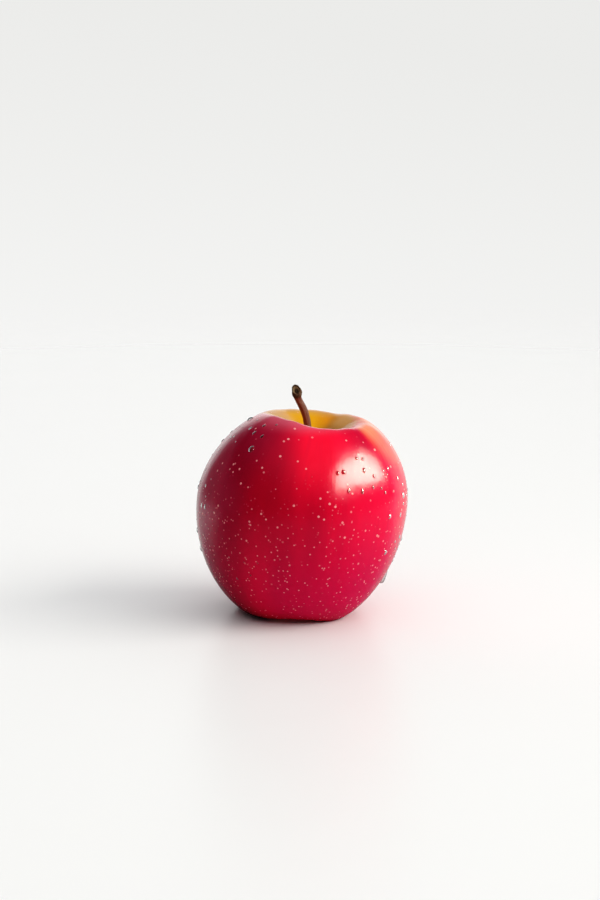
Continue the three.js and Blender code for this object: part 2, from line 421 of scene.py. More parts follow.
    def _dots(self, graph: Graph, here: Flow, level: Flow) -> Flow:
        """The lenticels: few and large round the shoulder, many and small round the foot.

        Args:
            graph: The material's graph.
            here: The place on the piece, in metres.
            level: The skin's level.

        Returns:
            How much of a lenticel is there, from 0 to 1.
        """
        near_large, luck_large = graph.specks(here, 300.0)
        near_small, luck_small = graph.specks(here, 540.0)
        large = near_large.rise(0.18, 0.07) * luck_large.rise(-0.1, 0.4) * level.rise(-0.9, 0.1)
        small = near_small.rise(0.23, 0.10) * luck_small.rise(-0.3, 0.5) * level.rise(0.6, -0.5)
        return large.at_least(small * 0.85) * level.rise(1.25, 0.95)

    def colour(self, graph: Graph) -> tuple[Flow, Flow, Flow, Flow]:
        """The skin's colour, on a mesh that carries its "skin_place".

        Args:
            graph: The graph that it is written in.

        Returns:
            The colour, and the lenticels, hair streaks and mottling that shape it.
        """
        place = graph.attribute("skin_place")
        here = graph.position()
        level = place.part("Z")
        streaks = graph.noise(place.scaled((11.0, 11.0, 0.9)), 1.0, 4.0, 0.6)
        hairs = graph.noise(place.scaled((44.0, 44.0, 1.6)), 1.0, 3.0, 0.6)
        mottle = graph.noise(here, 160.0, 4.0, 0.6)

        # Red runs over the rim in streaks and gives out inside the cavity and the basin,
        # sooner on the shaded back than on the sunny front.
        sunny = place.part("Y") * -0.29 + place.part("X") * 0.10 - 0.02
        upper = level - sunny + (streaks - 0.5) * 0.22 + (hairs - 0.5) * 0.12
        lower = level + (streaks - 0.5) * 0.5
        blush = upper.rise(1.26, 1.02) * lower.rise(-1.75, -1.25)
        ground = self._ground_colour(graph, place, mottle)
        colour = graph.mix(blush, ground, self._red_colour(graph, place, streaks, hairs))
        dots = self._dots(graph, here, level)
        return graph.mix(dots * 0.85, colour, self.lenticel), dots, hairs, mottle

    def material(self) -> bpy.types.Material:
        """Builds the skin's material.

        Returns:
            The material, which reads the mesh's "skin_place".
        """
        material, graph = new_material("waxed_skin")
        colour, dots, hairs, mottle = self.colour(graph)
        here = graph.position()
        swell = graph.noise(here, 85.0, 2.0)
        pebble = graph.noise(here, 620.0, 2.0, 0.6)
        normal = graph.bump(swell, 0.00025)
        normal = graph.bump(hairs, 0.00003, normal)
        normal = graph.bump(pebble, 0.000012, normal)
        normal = graph.bump(dots, 0.00004, normal)
        graph.surface({
            "Base Color": colour,
            "Roughness": self.rough + (mottle - 0.5) * 0.12 + dots * 0.12,
            "IOR": self.ior,
            "Specular Tint": self.gloss_tint,
            "Normal": normal,
        })
        return material

    def wet_material(self) -> bpy.types.Material:
        """Builds the matte look of the skin under a bead of water, with a painted pink glow for the light
        that the bead focuses onto it.

        Returns:
            The material, which reads the mesh's "skin_place".
        """
        material, graph = new_material("wetted_skin")
        colour, *_ = self.colour(graph)
        # The skin under a bead is laid a little towards pink: a painted glow for the light that the bead
        # focuses onto it.
        graph.surface({
            "Base Color": graph.mix(self.caustic_share, colour, self.caustic_pink),
            "Roughness": 1.0,
            "Specular IOR Level": 0.0,
        })
        return material


@dataclass(frozen=True)
class BarkFinish:
    """The stem's smooth red-brown bark, darker on the knob, with a pale pith in the scar."""

    bark: Colour = rgb(0.150, 0.055, 0.042)
    light_bark: Colour = rgb(0.340, 0.150, 0.100)
    root: Colour = rgb(0.420, 0.150, 0.040)
    knob: Colour = rgb(0.085, 0.040, 0.022)
    scar: Colour = rgb(0.060, 0.034, 0.020)
    pith: Colour = rgb(0.240, 0.160, 0.090)
    rough: float = 0.5

    def material(self) -> bpy.types.Material:
        """Builds the bark's material.

        Returns:
            The material, which reads the mesh's "stem_place".
        """
        material, graph = new_material("stem_bark")
        place = graph.attribute("stem_place")
        share = place.part("Z")
        grain = graph.noise(place.scaled((3.2, 3.2, 5.0)), 1.0, 4.0, 0.6)
        fibres = graph.noise(place.scaled((9.0, 9.0, 7.0)), 1.0, 3.0, 0.7)
        pores = graph.noise(graph.position(), 1500.0, 3.0, 0.6)
        colour = graph.mix((grain - 0.3) * 1.6, self.bark, self.light_bark)
        colour = graph.mix(fibres.rise(0.45, 0.7) * 0.6, colour, self.bark)
        colour = graph.mix(share.rise(0.34, 0.16), colour, self.root)
        colour = graph.mix((share + (grain - 0.5) * 0.08).rise(0.83, 0.89), colour, self.knob)
        colour = graph.mix(share.rise(0.86, 0.90) * fibres.rise(0.5, 0.66) * 0.6, colour, self.pith)
        colour = graph.mix(share.rise(1.0, 1.04), colour, self.scar)
        colour = graph.mix(share.rise(1.04, 1.07) * share.rise(1.13, 1.09) * 0.9, colour, self.pith)
        normal = graph.bump(fibres, 0.00018)
        normal = graph.bump(pores, 0.00010, normal)
        graph.surface({
            "Base Color": colour,
            "Roughness": self.rough + (grain - 0.5) * 0.3 + share.rise(0.8, 0.9) * 0.2,
            "Specular IOR Level": 0.35,
            "Normal": normal,
        })
        return material


@dataclass(frozen=True)
class DriedFinish:
    """A dried, papery part of the flower end."""

    name: str
    light: Colour
    dark: Colour
    coarseness: float

    def material(self) -> bpy.types.Material:
        """Builds the dried part's material.

        Returns:
            The material.
        """
        material, graph = new_material(self.name)
        here = graph.position()
        patches = graph.noise(here, self.coarseness, 4.0, 0.6)
        fuzz = graph.noise(here, self.coarseness * 6.0, 3.0, 0.7)
        colour = graph.mix((patches - 0.32) * 2.6, self.dark, self.light)
        colour = graph.mix(fuzz.rise(0.5, 0.75) * 0.5, colour, self.dark)
        normal = graph.bump(patches, 0.00012)
        normal = graph.bump(fuzz, 0.00005, normal)
        graph.surface({
            "Base Color": colour,
            "Roughness": 0.78 + (fuzz - 0.5) * 0.3,
            "Normal": normal,
        })
        return material


@dataclass(frozen=True)
class WaterFinish:
    """Clear water."""

    ior: float = 1.333

    def material(self) -> bpy.types.Material:
        """Builds the water's material.

        Returns:
            The material.
        """
        material, graph = new_material("clear_water")
        ripple = graph.noise(graph.position(), 700.0, 1.0)
        graph.surface({
            "Base Color": rgb(1.0, 1.0, 1.0),
            "Roughness": 0.0,
            "IOR": self.ior,
            "Specular Tint": rgb(0.45, 0.45, 0.45),
            "Transmission Weight": 1.0,
            "Normal": graph.bump(ripple, 0.00004),
        })
        return material


# ------------------------------------------------------------------ mesh making


def smooth(value: Array | float, start: float, end: float) -> Array | float:
    """A smooth step from 0 at start to 1 at end."""
    share = np.clip((value - start) / (end - start), 0.0, 1.0)
    return share * share * (3.0 - 2.0 * share)


def unit(vectors: Array) -> Array:
    """The vectors, each one long."""
    return vectors / np.linalg.norm(vectors, axis=-1, keepdims=True)


def bezier(corners: Sequence[tuple[float, ...]], count: int) -> Array:
    """Points along a cubic curve.

    Args:
        corners: Its four control points.
        count: How many points, ends included.

    Returns:
        The points, one a row.
    """
    a, b, c, d = (np.array(corner, float) for corner in corners)
    t = np.linspace(0.0, 1.0, count)[:, None]
    return (1 - t) ** 3 * a + 3 * (1 - t) ** 2 * t * b + 3 * (1 - t) * t**2 * c + t**3 * d


def spaced(points: Array) -> tuple[Array, float]:
    """How far along a line its points are.

    Args:
        points: The points, one a row.

    Returns:
        Each point's share of the line's length, and that length.
    """
    steps = np.linalg.norm(np.diff(points, axis=0), axis=1)
    along = np.concatenate(([0.0], np.cumsum(steps)))
    return along / along[-1], float(along[-1])


class Shell:
    """A mesh in the making: closed surfaces of rings, gathered into one object."""

    def __init__(self) -> None:
        """Starts with nothing."""
        self.points: list[Array] = []
        self.places: list[Array] = []
        self.faces: list[tuple[int, ...]] = []
        self.count = 0

    def add(self, rings: Array, places: Array | None = None) -> None:
        """Adds a closed surface, whose first and last rings draw in to a point each.

        Args:
            rings: Points as (ring, point round the ring, XYZ), in millimetres.
            places: A vector for each point, in the same layout, that a finish reads.
        """
        rows, columns, _ = rings.shape
        inner = rings[1:-1].reshape(-1, 3)
        ends = np.stack((rings[0].mean(axis=0), rings[-1].mean(axis=0)))
        self.points.append(np.concatenate((inner, ends)))
        if places is not None:
            caps = np.stack((places[0].mean(axis=0), places[-1].mean(axis=0)))
            self.places.append(np.concatenate((places[1:-1].reshape(-1, 3), caps)))
        start, first, last = self.count, self.count + len(inner), self.count + len(inner) + 1
        for row in range(rows - 3):
            for column in range(columns):
                beside = (column + 1) % columns
                low, high = start + row * columns, start + (row + 1) * columns
                self.faces.append((low + column, low + beside, high + beside, high + column))
        top = start + (rows - 3) * columns
        for column in range(columns):
            beside = (column + 1) % columns
            self.faces.append((first, start + beside, start + column))
            self.faces.append((last, top + column, top + beside))
        self.count += len(inner) + 2

    def build(
        self, name: str, slot: Slot, finish: bpy.types.Material, place: str = ""
    ) -> bpy.types.Object:
        """Makes the object and rides it on the part's body.

        Args:
            name: The object's name.
            slot: The record's slot that its finish belongs to. It is not used.
            finish: Its material.
            place: The name under which the mesh carries the points' vectors.

        Returns:
            The object.
        """
        mesh = bpy.data.meshes.new(name)
        mesh.from_pydata((np.concatenate(self.points) * MM).tolist(), [], self.faces)
        mesh.polygons.foreach_set("use_smooth", [True] * len(mesh.polygons))
        if place:
            layer = mesh.attributes.new(place, "FLOAT_VECTOR", "POINT")
            layer.data.foreach_set("vector", np.concatenate(self.places).astype(np.float32).ravel())
        mesh.materials.append(finish)
        mesh.update()
        piece = bpy.data.objects.new(name, mesh)
        bpy.context.scene.collection.objects.link(piece)
        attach(piece, BODY)
        log.info("%s: %d points, %d faces", name, self.count, len(self.faces))
        return piece


# ------------------------------------------------------------------- the fruit


@dataclass(frozen=True)
class Lobe:
    """One of the five lobes: its turn, its lift of the rim and its reach as a foot."""

    turn: float
    rim: float
    foot: float


@dataclass(frozen=True)
class Wave:
    """A shallow swell of the skin: how often it runs round and up, where, and how high."""

    round: int
    up: float
    phase: float
    height: float


class FruitShape:
    """The fruit's grown form, the same as its solid's.

    A place on it is a level and a turn. The level is -2 in the middle of the basin,
    -1 on the ring that it rests on, 0 round the equator, 1 on the rim and 2 on the
    cavity's floor. The turn is an angle about +Z from +X.
    """

    DIAMETER = 75.0
    HEIGHT = 70.7
    EQUATOR_HEIGHT = 40.5
    UPPER_FULLNESS = 19.0
    SHOULDER_FULLNESS = 4.0
    LOWER_FULLNESS = 24.5
    FOOT_FULLNESS = 6.0
    RIM_RADIUS = 18.5
    CAVITY_DEPTH = 13.0
    CAVITY_LIP = 8.5
    CAVITY_FLOOR = 3.5
    REST_RADIUS = 17.5
    BASIN_DEPTH = 7.5
    BASIN_LIP = 6.0
    BASIN_FLOOR = 5.0
    REST_FLAT = 0.6
    LOBES = (
        Lobe(20, 0.3, 0.88),
        Lobe(88, 0.12, 1.0),
        Lobe(153, 0.2, 1.3),
        Lobe(223, 1.35, 0.4),
        Lobe(316, 0.12, 0.86),
    )
    LOBE_SHARPNESS = 8.0
    LOBE_SWELL = 0.035
    RIM_SHARE = 0.6
    FOOT_SHARE = 0.7
    RIM_RISE = 1.7
    FOOT_RISE = 2.2
    LEAN = 5.0
    CROWN_SHIFT = 0.7
    WAVES = (
        Wave(5, 0.4, 1.1, 0.16),
        Wave(7, -0.5, 2.9, 0.12),
        Wave(11, 0.7, 0.4, 0.07),
        Wave(17, -0.3, 4.2, 0.035),
    )

    def __init__(self) -> None:
        """Works out the outline, and where the fruit stands in the frame."""
        radius = self.DIAMETER / 2
        floor = self.HEIGHT - self.CAVITY_DEPTH
        rest, rim, middle = self.REST_RADIUS, self.RIM_RADIUS, self.EQUATOR_HEIGHT
        arcs = (
            (
                (0, self.BASIN_DEPTH),
                (self.BASIN_FLOOR, self.BASIN_DEPTH),
                (rest - self.BASIN_LIP, 0),
                (rest, 0),
            ),
            (
                (rest, 0),
                (rest + self.FOOT_FULLNESS, 0),
                (radius, middle - self.LOWER_FULLNESS),
                (radius, middle),
            ),
            (
                (radius, middle),
                (radius, middle + self.UPPER_FULLNESS),
                (rim + self.SHOULDER_FULLNESS, self.HEIGHT),
                (rim, self.HEIGHT),
            ),
            (
                (rim, self.HEIGHT),
                (rim - self.CAVITY_LIP, self.HEIGHT),
                (self.CAVITY_FLOOR, floor),
                (0, floor),
            ),
        )
        lines = [bezier(arc, 400) for arc in arcs]
        spread = [spaced(line) for line in lines]
        self.levels = np.concatenate([share - 2 + i for i, (share, _) in enumerate(spread)])
        self.outline = np.concatenate(lines)
        self.lengths = [length for _, length in spread]
        self.shift = np.zeros(3)
        sides = np.linspace(-1.0, 1.0, 200)
        whole = self.grown(*np.meshgrid(sides, np.linspace(-math.pi, math.pi, 361)))
        low, high = (np.array(corner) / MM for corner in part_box("fruit"))
        centre = (whole.reshape(-1, 3).min(axis=0) + whole.reshape(-1, 3).max(axis=0)) / 2
        self.shift = np.array([*((low + high) / 2 - centre)[:2], -self.REST_FLAT])

    def _strength(self, turn: Array, kind: str) -> Array:
        """Sum of the lobes' strengths at each turn.

        Args:
            turn: The turns.
            kind: The strength that is summed, "rim" or "foot".

        Returns:
            The sum at each turn.
        """
        total = 0.0
        for lobe in self.LOBES:
            nearness = np.cos(turn - math.radians(lobe.turn)) - 1
            total = total + getattr(lobe, kind) * np.exp(self.LOBE_SHARPNESS * nearness)
        return total

    def grown(self, level: Array, turn: Array) -> Array:
        """Points of the grown fruit before its skin's shallow swells.

        Args:
            level: The level of each point.
            turn: The turn of each point.

        Returns:
            The points, in millimetres.
        """
        radius = np.interp(level, self.levels, self.outline[:, 0])
        height = np.interp(level, self.levels, self.outline[:, 1])
        above = smooth(height, self.EQUATOR_HEIGHT, self.HEIGHT)
        below = 1 - smooth(height, 0.0, self.EQUATOR_HEIGHT)
        rim, foot = self._strength(turn, "rim"), self._strength(turn, "foot")
        swell = above * (rim - self.RIM_SHARE) + below * (foot - self.FOOT_SHARE)
        reach = radius * (1 + self.LOBE_SWELL * swell)
        lift = self.RIM_RISE * above * np.minimum(1, radius / self.RIM_RADIUS) * rim
        sink = self.FOOT_RISE * below**2 * np.minimum(1, radius / self.REST_RADIUS) * (1 - foot)
        rise = height + lift + sink
        lean = math.radians(self.LEAN) * rise / self.HEIGHT
        across = reach * np.cos(turn)
        x = across * np.cos(lean) + rise * np.sin(lean) + self.CROWN_SHIFT * above
        z = rise * np.cos(lean) - across * np.sin(lean)
        return np.stack((x, reach * np.sin(turn), z), axis=-1) + self.shift

    def directions(self, level: Array, turn: Array) -> tuple[Array, Array, Array]:
        """Which way is out of the skin, down it and along it.

        Args:
            level: The level of each point.
            turn: The turn of each point.

        Returns:
            The unit vectors out, down and along, at each point.
        """
        step = 1e-4
        down = unit(self.grown(level - step, turn) - self.grown(level + step, turn))
        along = unit(self.grown(level, turn + step) - self.grown(level, turn - step))
        return unit(np.cross(down, along)), down, along

    def skin(self, level: Array, turn: Array) -> Array:
        """Points of the finished skin, flat under the feet.

        Args:
            level: The level of each point.
            turn: The turn of each point.

        Returns:
            The points, in millimetres.
        """
        out, _, _ = self.directions(level, turn)
        swell = sum(
            wave.height * np.cos(wave.round * turn + wave.up * math.pi * level + wave.phase)
            for wave in self.WAVES
        )
        fade = smooth(level, -1.0, -0.6) * smooth(level, 1.7, 1.2)
        points = self.grown(level, turn) + out * (swell * fade)[..., None]
        points[..., 2] = np.maximum(points[..., 2], 0.0)
        return points

    def level_at(self, up: float) -> float:
        """The level of the side at a share of the height."""
        side = (self.levels > -1) & (self.levels < 1)
        return float(np.interp(up * self.HEIGHT, self.outline[side, 1], self.levels[side]))

    def pitch(self, level: float) -> float:
        """How long one level is on the skin there, in millimetres."""
        return self.lengths[min(3, max(0, math.floor(level) + 2))]


@dataclass
class Fruit:
    """Flesh and skin, grown as one body."""

    shape: FruitShape
    turns: int = 320
    basin_rings: int = 28
    lower_rings: int = 66
    upper_rings: int = 58
    cavity_rings: int = 48

    def build(self) -> bpy.types.Object:
        """Makes the fruit and gives it its skin.

        Returns:
            The fruit, in place of its solid.
        """
        rings = (self.basin_rings, self.lower_rings, self.upper_rings, self.cavity_rings)
        levels = np.concatenate([np.linspace(i - 2, i - 1, n, endpoint=False) for i, n in enumerate(rings)])
        levels = np.append(levels, 2.0)
        turns = np.linspace(0.0, 2 * math.pi, self.turns, endpoint=False)
        level, turn = np.meshgrid(levels, turns, indexing="ij")
        shell = Shell()
        shell.add(self.shape.skin(level, turn), np.stack((np.cos(turn), np.sin(turn), level), axis=-1))
        fruit = shell.build("whole_fruit", Slot.SKIN, SkinFinish().material(), "skin_place")
        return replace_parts(fruit, "fruit")


# -------------------------------------------------------------------- the stem


@dataclass
class Stem:
    """The woody stalk, from its root in the cavity to the scar at its tip."""

    shape: FruitShape
    height: float = 25.2
    reach: float = 4.6
    tilt: float = 2.5
    sway: float = 0.3
    root: float = 4.0
    diameter: float = 2.6
    flare: float = 0.5
    knob_diameter: float = 3.4
    knob_length: float = 4.0
    scar_depth: float = 0.9
    scar_slant: float = 2.5
    hook: float = -0.45
    nod: float = 0.4
    ridge: float = 0.07
    lump: float = 0.22
    rings: int = 96
    sides: int = 48

    # The scar, ring by ring: its share of the tip's width, of its depth, and its place for the bark.
    SCAR = (
        (0.86, 0.02, 1.03),
        (0.66, 0.5, 1.08),
        (0.42, 0.85, 1.12),
        (0.22, 0.7, 1.2),
        (0, 0.6, 1.2),
    )

    def _middle(self) -> tuple[Array, Array, Array]:
        """The line along the middle of the stem.

        Returns:
            Its points, their shares of its length, and its directions.
        """
        floor = self.shape.grown(np.array(2.0), np.array(0.0))
        corners = (
            floor + (0, 0, -self.root),
            floor + (self.sway, 0, self.height * 0.6),
            floor + (-self.reach * 0.4, -self.tilt * 0.2, self.height * 0.68),
            floor + (-self.reach, -self.tilt, self.height),
        )
        line = bezier(corners, 600)
        share, self.length = spaced(line)
        even = np.linspace(0.0, 1.0, self.rings)
        points = np.stack([np.interp(even, share, line[:, axis]) for axis in range(3)], axis=-1)
        hook = np.exp(-(((even * self.length - self.length + 5.0) / 2.8) ** 2))
        points[:, 0] += self.hook * hook - self.nod * smooth(even, 0.55, 0.8)
        tangents = unit(np.gradient(points, axis=0))
        return points, even, tangents

    def _radius(self, along: Array, turn: Array) -> Array:
        """The bark's distance from the middle line, with its ridges, node and lumpy knob.

        Args:
            along: How far up the stem each point is, in millimetres.
            turn: Each point's turn round the stem.

        Returns:
            The distances, in millimetres.
        """
        shaft, knob = self.diameter / 2, self.knob_diameter / 2
        flare = self.flare * np.exp(-(((along - self.root) / 5.5) ** 2))
        swell = smooth(along, self.length - self.knob_length * 1.25, self.length - self.knob_length * 0.7)
        tip = smooth(along, self.length - self.knob_length * 0.3, self.length)
        ridges = 0.6 * np.cos(5 * turn + 0.12 * along) + 0.4 * np.cos(9 * turn - 0.2 * along + 1.0)
        node = 0.12 * np.exp(-(((along - 0.55 * self.length) / 0.8) ** 2))
        waist = 0.08 * np.cos(along * 0.9 + 0.5) + node
        lumps = np.cos(3 * turn + 1.7 * along) * np.cos(2.1 * along + 0.7) + 0.5 * np.cos(7 * turn - along)
        spur = 0.25 * np.exp(-(((along - self.length + 1.2) / 0.55) ** 2))
        spur = spur * smooth(np.cos(turn + 0.25), 0.72, 1.0)
        return (
            shaft + flare + (knob - shaft) * swell - 0.12 * knob * tip
            + self.ridge * ridges * (1 - swell) + waist * 0.5 * (1 - swell)
            + self.lump * lumps * swell * 0.6 + spur
        )

    def build(self) -> bpy.types.Object:
        """Makes the stem and gives it its bark.

        Returns:
            The stem, in place of its solid.
        """
        points, share, tangents = self._middle()
        right = unit(np.cross(np.array([0.0, 1.0, 0.0]), tangents))
        back = np.cross(tangents, right)
        turns = np.linspace(0.0, 2 * math.pi, self.sides, endpoint=False)
        along, turn = np.meshgrid(share * self.length, turns, indexing="ij")
        radius = self._radius(along, turn)
        spoke = right[:, None] * np.cos(turn)[..., None] + back[:, None] * np.sin(turn)[..., None]
        body = points[:, None] + spoke * radius[..., None]
        places = np.stack((np.cos(turn), np.sin(turn), along / self.length), axis=-1)
        slant = smooth(along, self.length - self.knob_length * 1.15, self.length)
        body -= tangents[:, None] * (slant * self.scar_slant * (0.5 - 0.5 * np.sin(turn)))[..., None]
        caps, marks = [], []
        for shrink, depth, mark in self.SCAR:
            middle = body[-1].mean(axis=0)
            caps.append(middle + (body[-1] - middle) * shrink - tangents[-1] * self.scar_depth * depth)
            marks.append(np.stack((np.cos(turns), np.sin(turns), np.full(self.sides, mark)), axis=-1))
        shell = Shell()
        shell.add(np.concatenate((body, caps)), np.concatenate((places, marks)))
        stem = shell.build("woody_stem", Slot.BARK, BarkFinish().material(), "stem_place")
        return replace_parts(stem, "stem")


# -------------------------------------------------------------- the flower end


@dataclass
class Calyx:
    """Five dried sepals and a tuft of dried stamens, in the basin underneath."""

    shape: FruitShape
    count: int = 5
    sepal_length: float = 5.2
    sepal_width: float = 3.0
    sepal_base: float = 1.9
    sepal_thickness: float = 0.4
    splay: float = 32.0
    curl: float = 1.1
    tuft_diameter: float = 2.2
    tuft_length: float = 3.4
    stamens: int = 19
    clearance: float = 0.3

    def _blade(self, rng: np.random.Generator) -> Array:
        """One sepal along +Y: flattened rings from its base to its tip.

        Args:
            rng: Where its small differences from its neighbours come from.

        Returns:
            The rings, in millimetres.
        """
        rows, columns = 22, 24
        share = np.linspace(0.0, 1.0, rows)[:, None]
        turn = np.linspace(0.0, 2 * math.pi, columns, endpoint=False)[None, :]
        belly = np.sin(np.clip(share * 0.8 + 0.2, 0, 1) * math.pi) ** 0.7
        half = (self.sepal_base / 2) * (1 - share) + (self.sepal_width / 2) * belly * (1 - share**3)
        half = np.minimum(half, self.sepal_width / 2) * np.sqrt(np.clip(1 - share, 0.0, 1.0)) ** 0.6
        x = half * np.cos(turn)
        y = self.sepal_length * share + 0 * turn
        thick = self.sepal_thickness * 0.32 * (1 - 0.6 * share)
        ripple = 0.16 * np.sin(share * 9 + rng.uniform(0, 6)) * (x / self.sepal_width)
        midrib = 0.14 * np.exp(-((x / 0.25) ** 2)) * (1 - share)
        trough = 0.5 * (x / self.sepal_width) ** 2
        z = thick * np.sin(turn) + ripple + midrib + self.curl * share**2 + trough
        twist = rng.uniform(-0.12, 0.12) * share
        turned = (x * np.cos(twist) - z * np.sin(twist), y, x * np.sin(twist) + z * np.cos(twist))
        blade = np.stack(turned, axis=-1)
        blade[0], blade[-1] = blade[0].mean(axis=0), blade[-1].mean(axis=0)
        return blade

    def _sepals(self, centre: Array, finish: bpy.types.Material) -> None:
        """Makes the sepals, one object each, in a ring round the tuft.

        Args:
            centre: The middle of the basin's floor, in millimetres.
            finish: Their material.
        """
        pitch = self.sepal_base + self.clearance
        ring = max(pitch * self.count / (2 * math.pi), self.tuft_diameter / 2) + self.clearance
        tilt = math.radians(self.splay - 90)
        for index in range(self.count):
            blade = self._blade(np.random.default_rng(40 + index))
            turn = 2 * math.pi * index / self.count
            x, y, z = blade[..., 0], blade[..., 1], blade[..., 2]
            y, z = y * math.cos(tilt) - z * math.sin(tilt) + ring, y * math.sin(tilt) + z * math.cos(tilt)
            spun = (x * math.cos(turn) - y * math.sin(turn), x * math.sin(turn) + y * math.cos(turn), z)
            points = np.stack(spun, axis=-1)
            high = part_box(f"sepal_{index + 1}")[1].z / MM
            points[..., 2] += high - points[..., 2].max()
            points[..., :2] += centre[:2]
            shell = Shell()
            shell.add(points)
            sepal = shell.build(f"dried_sepal_{index + 1}", Slot.SEPAL, finish)
            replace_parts(sepal, f"sepal_{index + 1}")

    def _tuft(self, finish: bpy.types.Material) -> bpy.types.Object:
        """Makes the stamens, thin threads with a knobbly tip.

        Args:
            finish: Their material.

        Returns:
            The tuft, in place of its solid.
        """
        rng = np.random.default_rng(7)
        low, high = (np.array(corner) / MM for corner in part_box("stamen_tuft"))
        centre, top = (low + high)[:2] / 2, high[2]
        shell = Shell()
        for index in range(self.stamens):
            turn = index * GOLDEN_ANGLE
            reach = math.sqrt((index + 0.5) / self.stamens) * self.tuft_diameter / 2 * 0.86
            length = self.tuft_length * rng.uniform(0.72, 0.98)
            bend = rng.uniform(-0.25, 0.25, 2)
            share = np.linspace(0.0, 1.0, 12)
            spread = (0.5 + 0.5 * share)[:, None] * reach * np.array([math.cos(turn), math.sin(turn)])
            sideways = centre + spread + bend * (share**2)[:, None] * 0.5
            middle = np.column_stack((sideways, top - length * share))
            thick = 0.11 + 0.14 * np.exp(-(((share - 0.93) / 0.06) ** 2))
            angles = np.linspace(0.0, 2 * math.pi, 8, endpoint=False)
            spoke = np.stack((np.cos(angles), np.sin(angles), 0 * angles), axis=-1)
            shell.add(middle[:, None] + spoke[None] * thick[:, None, None])
        tuft = shell.build("dried_stamens", Slot.TUFT, finish)
        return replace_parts(tuft, "stamen_tuft")

    def build(self) -> None:
        """Makes the flower end."""
        centre = self.shape.grown(np.array(-2.0), np.array(0.0))
        leaf = DriedFinish("dried_leaf", rgb(0.26, 0.17, 0.09), rgb(0.07, 0.040, 0.020), 900.0)
        thread = DriedFinish("dried_thread", rgb(0.13, 0.075, 0.035), rgb(0.03, 0.016, 0.008), 1600.0)
        self._sepals(centre, leaf.material())
        self._tuft(thread.material())


# ------------------------------------------------------------------- the water


@dataclass(frozen=True)
class Bead:
    """A bead of water: its place on the fruit and the patch of skin that it wets."""

    turn: float
    level: float
    width: float
    length: float
    rise: float = 0.42
    pear: float = 0.0


@dataclass(frozen=True)
class Shower:
    """Where many small beads lie, in degrees of turn and shares of the height."""

    count: int
    turn: float
    spread: float
    low: float
    high: float
    small: float
    large: float


